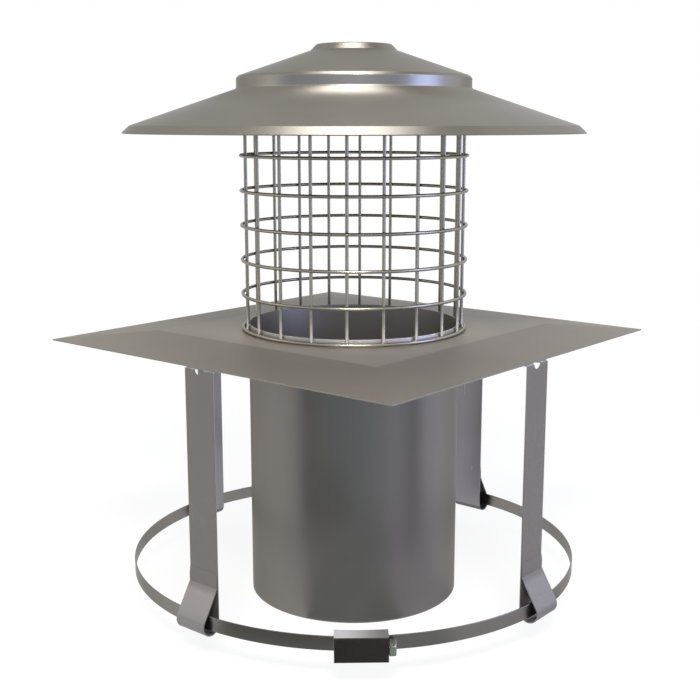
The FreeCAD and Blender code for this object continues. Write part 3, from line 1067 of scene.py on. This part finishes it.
    def sheet(self, name, points, finish):
        """A stage piece of one face through the points in their order."""
        mesh = bpy.data.meshes.new(name)
        mesh.from_pydata(np.array(points).tolist(), [], [tuple(range(len(points)))])
        sheet = bpy.data.objects.new(name, mesh)
        sheet.data.materials.append(finish.material)
        bpy.context.scene.collection.objects.link(sheet)
        return sheet

    def world(self):
        """White to the camera and in reflections, and a softer grey as light."""
        world = bpy.data.worlds.new("studio_world")
        bpy.context.scene.world = world
        world.use_nodes = True
        nodes, links = world.node_tree.nodes, world.node_tree.links
        nodes.clear()

        def larger(first, second):
            """The larger of two sockets' values."""
            most = nodes.new("ShaderNodeMath")
            most.operation = "MAXIMUM"
            links.new(first, most.inputs[0])
            links.new(second, most.inputs[1])
            return most.outputs[0]

        def background(colour, strength):
            """An even background."""
            even = nodes.new("ShaderNodeBackground")
            even.inputs["Color"].default_value = colour
            even.inputs["Strength"].default_value = strength
            return even.outputs[0]

        path = nodes.new("ShaderNodeLightPath").outputs
        seen = larger(path["Is Camera Ray"], path["Is Glossy Ray"])
        mix = nodes.new("ShaderNodeMixShader")
        links.new(larger(seen, path["Is Transmission Ray"]), mix.inputs[0])
        links.new(background((0.9, 0.91, 0.93, 1), 0.4), mix.inputs[1])
        links.new(background(WHITE, 1.0), mix.inputs[2])
        output = nodes.new("ShaderNodeOutputWorld")
        links.new(mix.outputs[0], output.inputs["Surface"])

    def lamp(self, name, place, size, power, colour, upward):
        """A soft rectangular lamp that faces the object's middle, its height along upward."""
        data = bpy.data.lights.new(name, "AREA")
        data.shape = "RECTANGLE"
        data.size, data.size_y = size
        data.energy = power
        data.color = colour
        lamp = bpy.data.objects.new(name, data)
        bpy.context.scene.collection.objects.link(lamp)
        lamp.location = place
        back = (lamp.location - (CAD_BOX[0] + CAD_BOX[1]) / 2).normalized()
        across = Vector(upward).cross(back).normalized()
        axes = Matrix((across, back.cross(across), back)).transposed()
        lamp.rotation_euler = axes.to_euler()
        lamp.visible_camera = False

    def camera(self, azimuth):
        """The camera that fits the photographed edges."""
        data = bpy.data.cameras.new("front")
        data.sensor_width = 36.0
        data.lens = 59.095
        data.clip_start, data.clip_end = 0.01, 60.0
        data.shift_x = 0.0009
        camera = bpy.data.objects.new("front", data)
        bpy.context.scene.collection.objects.link(camera)
        camera.location = (0.5149, -0.6272, 0.1445)
        down = 11.207
        camera.rotation_euler = (math.radians(90 - down), 0, azimuth)
        bpy.context.scene.camera = camera


class CHIMNEYCAP_PT_pieces(Panel):
    """Lists the steps that build the chimney cap"""

    bl_idname = "CHIMNEYCAP_PT_pieces"
    bl_label = "Chimney Cap"
    bl_space_type = "VIEW_3D"
    bl_region_type = "UI"
    bl_category = "Chimney Cap"

    def draw(self, context):
        """Buttons for the steps, then the sizes and colours."""
        for step in STEPS:
            self.layout.operator(step.bl_idname)
        for group in (context.scene.chimney_cap_sizes, context.scene.chimney_cap_colours):
            box = self.layout.box()
            for key in group.__annotations__:
                box.prop(group, key)


STEPS = (
    CHIMNEYCAP_OT_cap,
    CHIMNEYCAP_OT_guard,
    CHIMNEYCAP_OT_plate,
    CHIMNEYCAP_OT_tube,
    CHIMNEYCAP_OT_legs,
    CHIMNEYCAP_OT_band,
    CHIMNEYCAP_OT_clamp,
    CHIMNEYCAP_OT_stage,
)
CLASSES = (ChimneyCapSizes, ChimneyCapColours) + STEPS + (CHIMNEYCAP_PT_pieces,)


def register():
    """Registers the classes and gives the scene their settings."""
    for each in CLASSES:
        bpy.utils.register_class(each)
    bpy.types.Scene.chimney_cap_sizes = PointerProperty(type=ChimneyCapSizes)
    bpy.types.Scene.chimney_cap_colours = PointerProperty(type=ChimneyCapColours)


def unregister():
    """Takes away what register gave, in the opposite order."""
    del bpy.types.Scene.chimney_cap_colours
    del bpy.types.Scene.chimney_cap_sizes
    for each in reversed(CLASSES):
        bpy.utils.unregister_class(each)


def main():
    register()
    bpy.context.scene.view_settings.view_transform = "Standard"
    bpy.ops.chimney_cap.cap()
    bpy.ops.chimney_cap.guard()
    bpy.ops.chimney_cap.plate()
    bpy.ops.chimney_cap.tube()
    bpy.ops.chimney_cap.legs()
    bpy.ops.chimney_cap.band()
    bpy.ops.chimney_cap.clamp()
    bpy.ops.chimney_cap.stage()


if __name__ == "__main__":
    main()
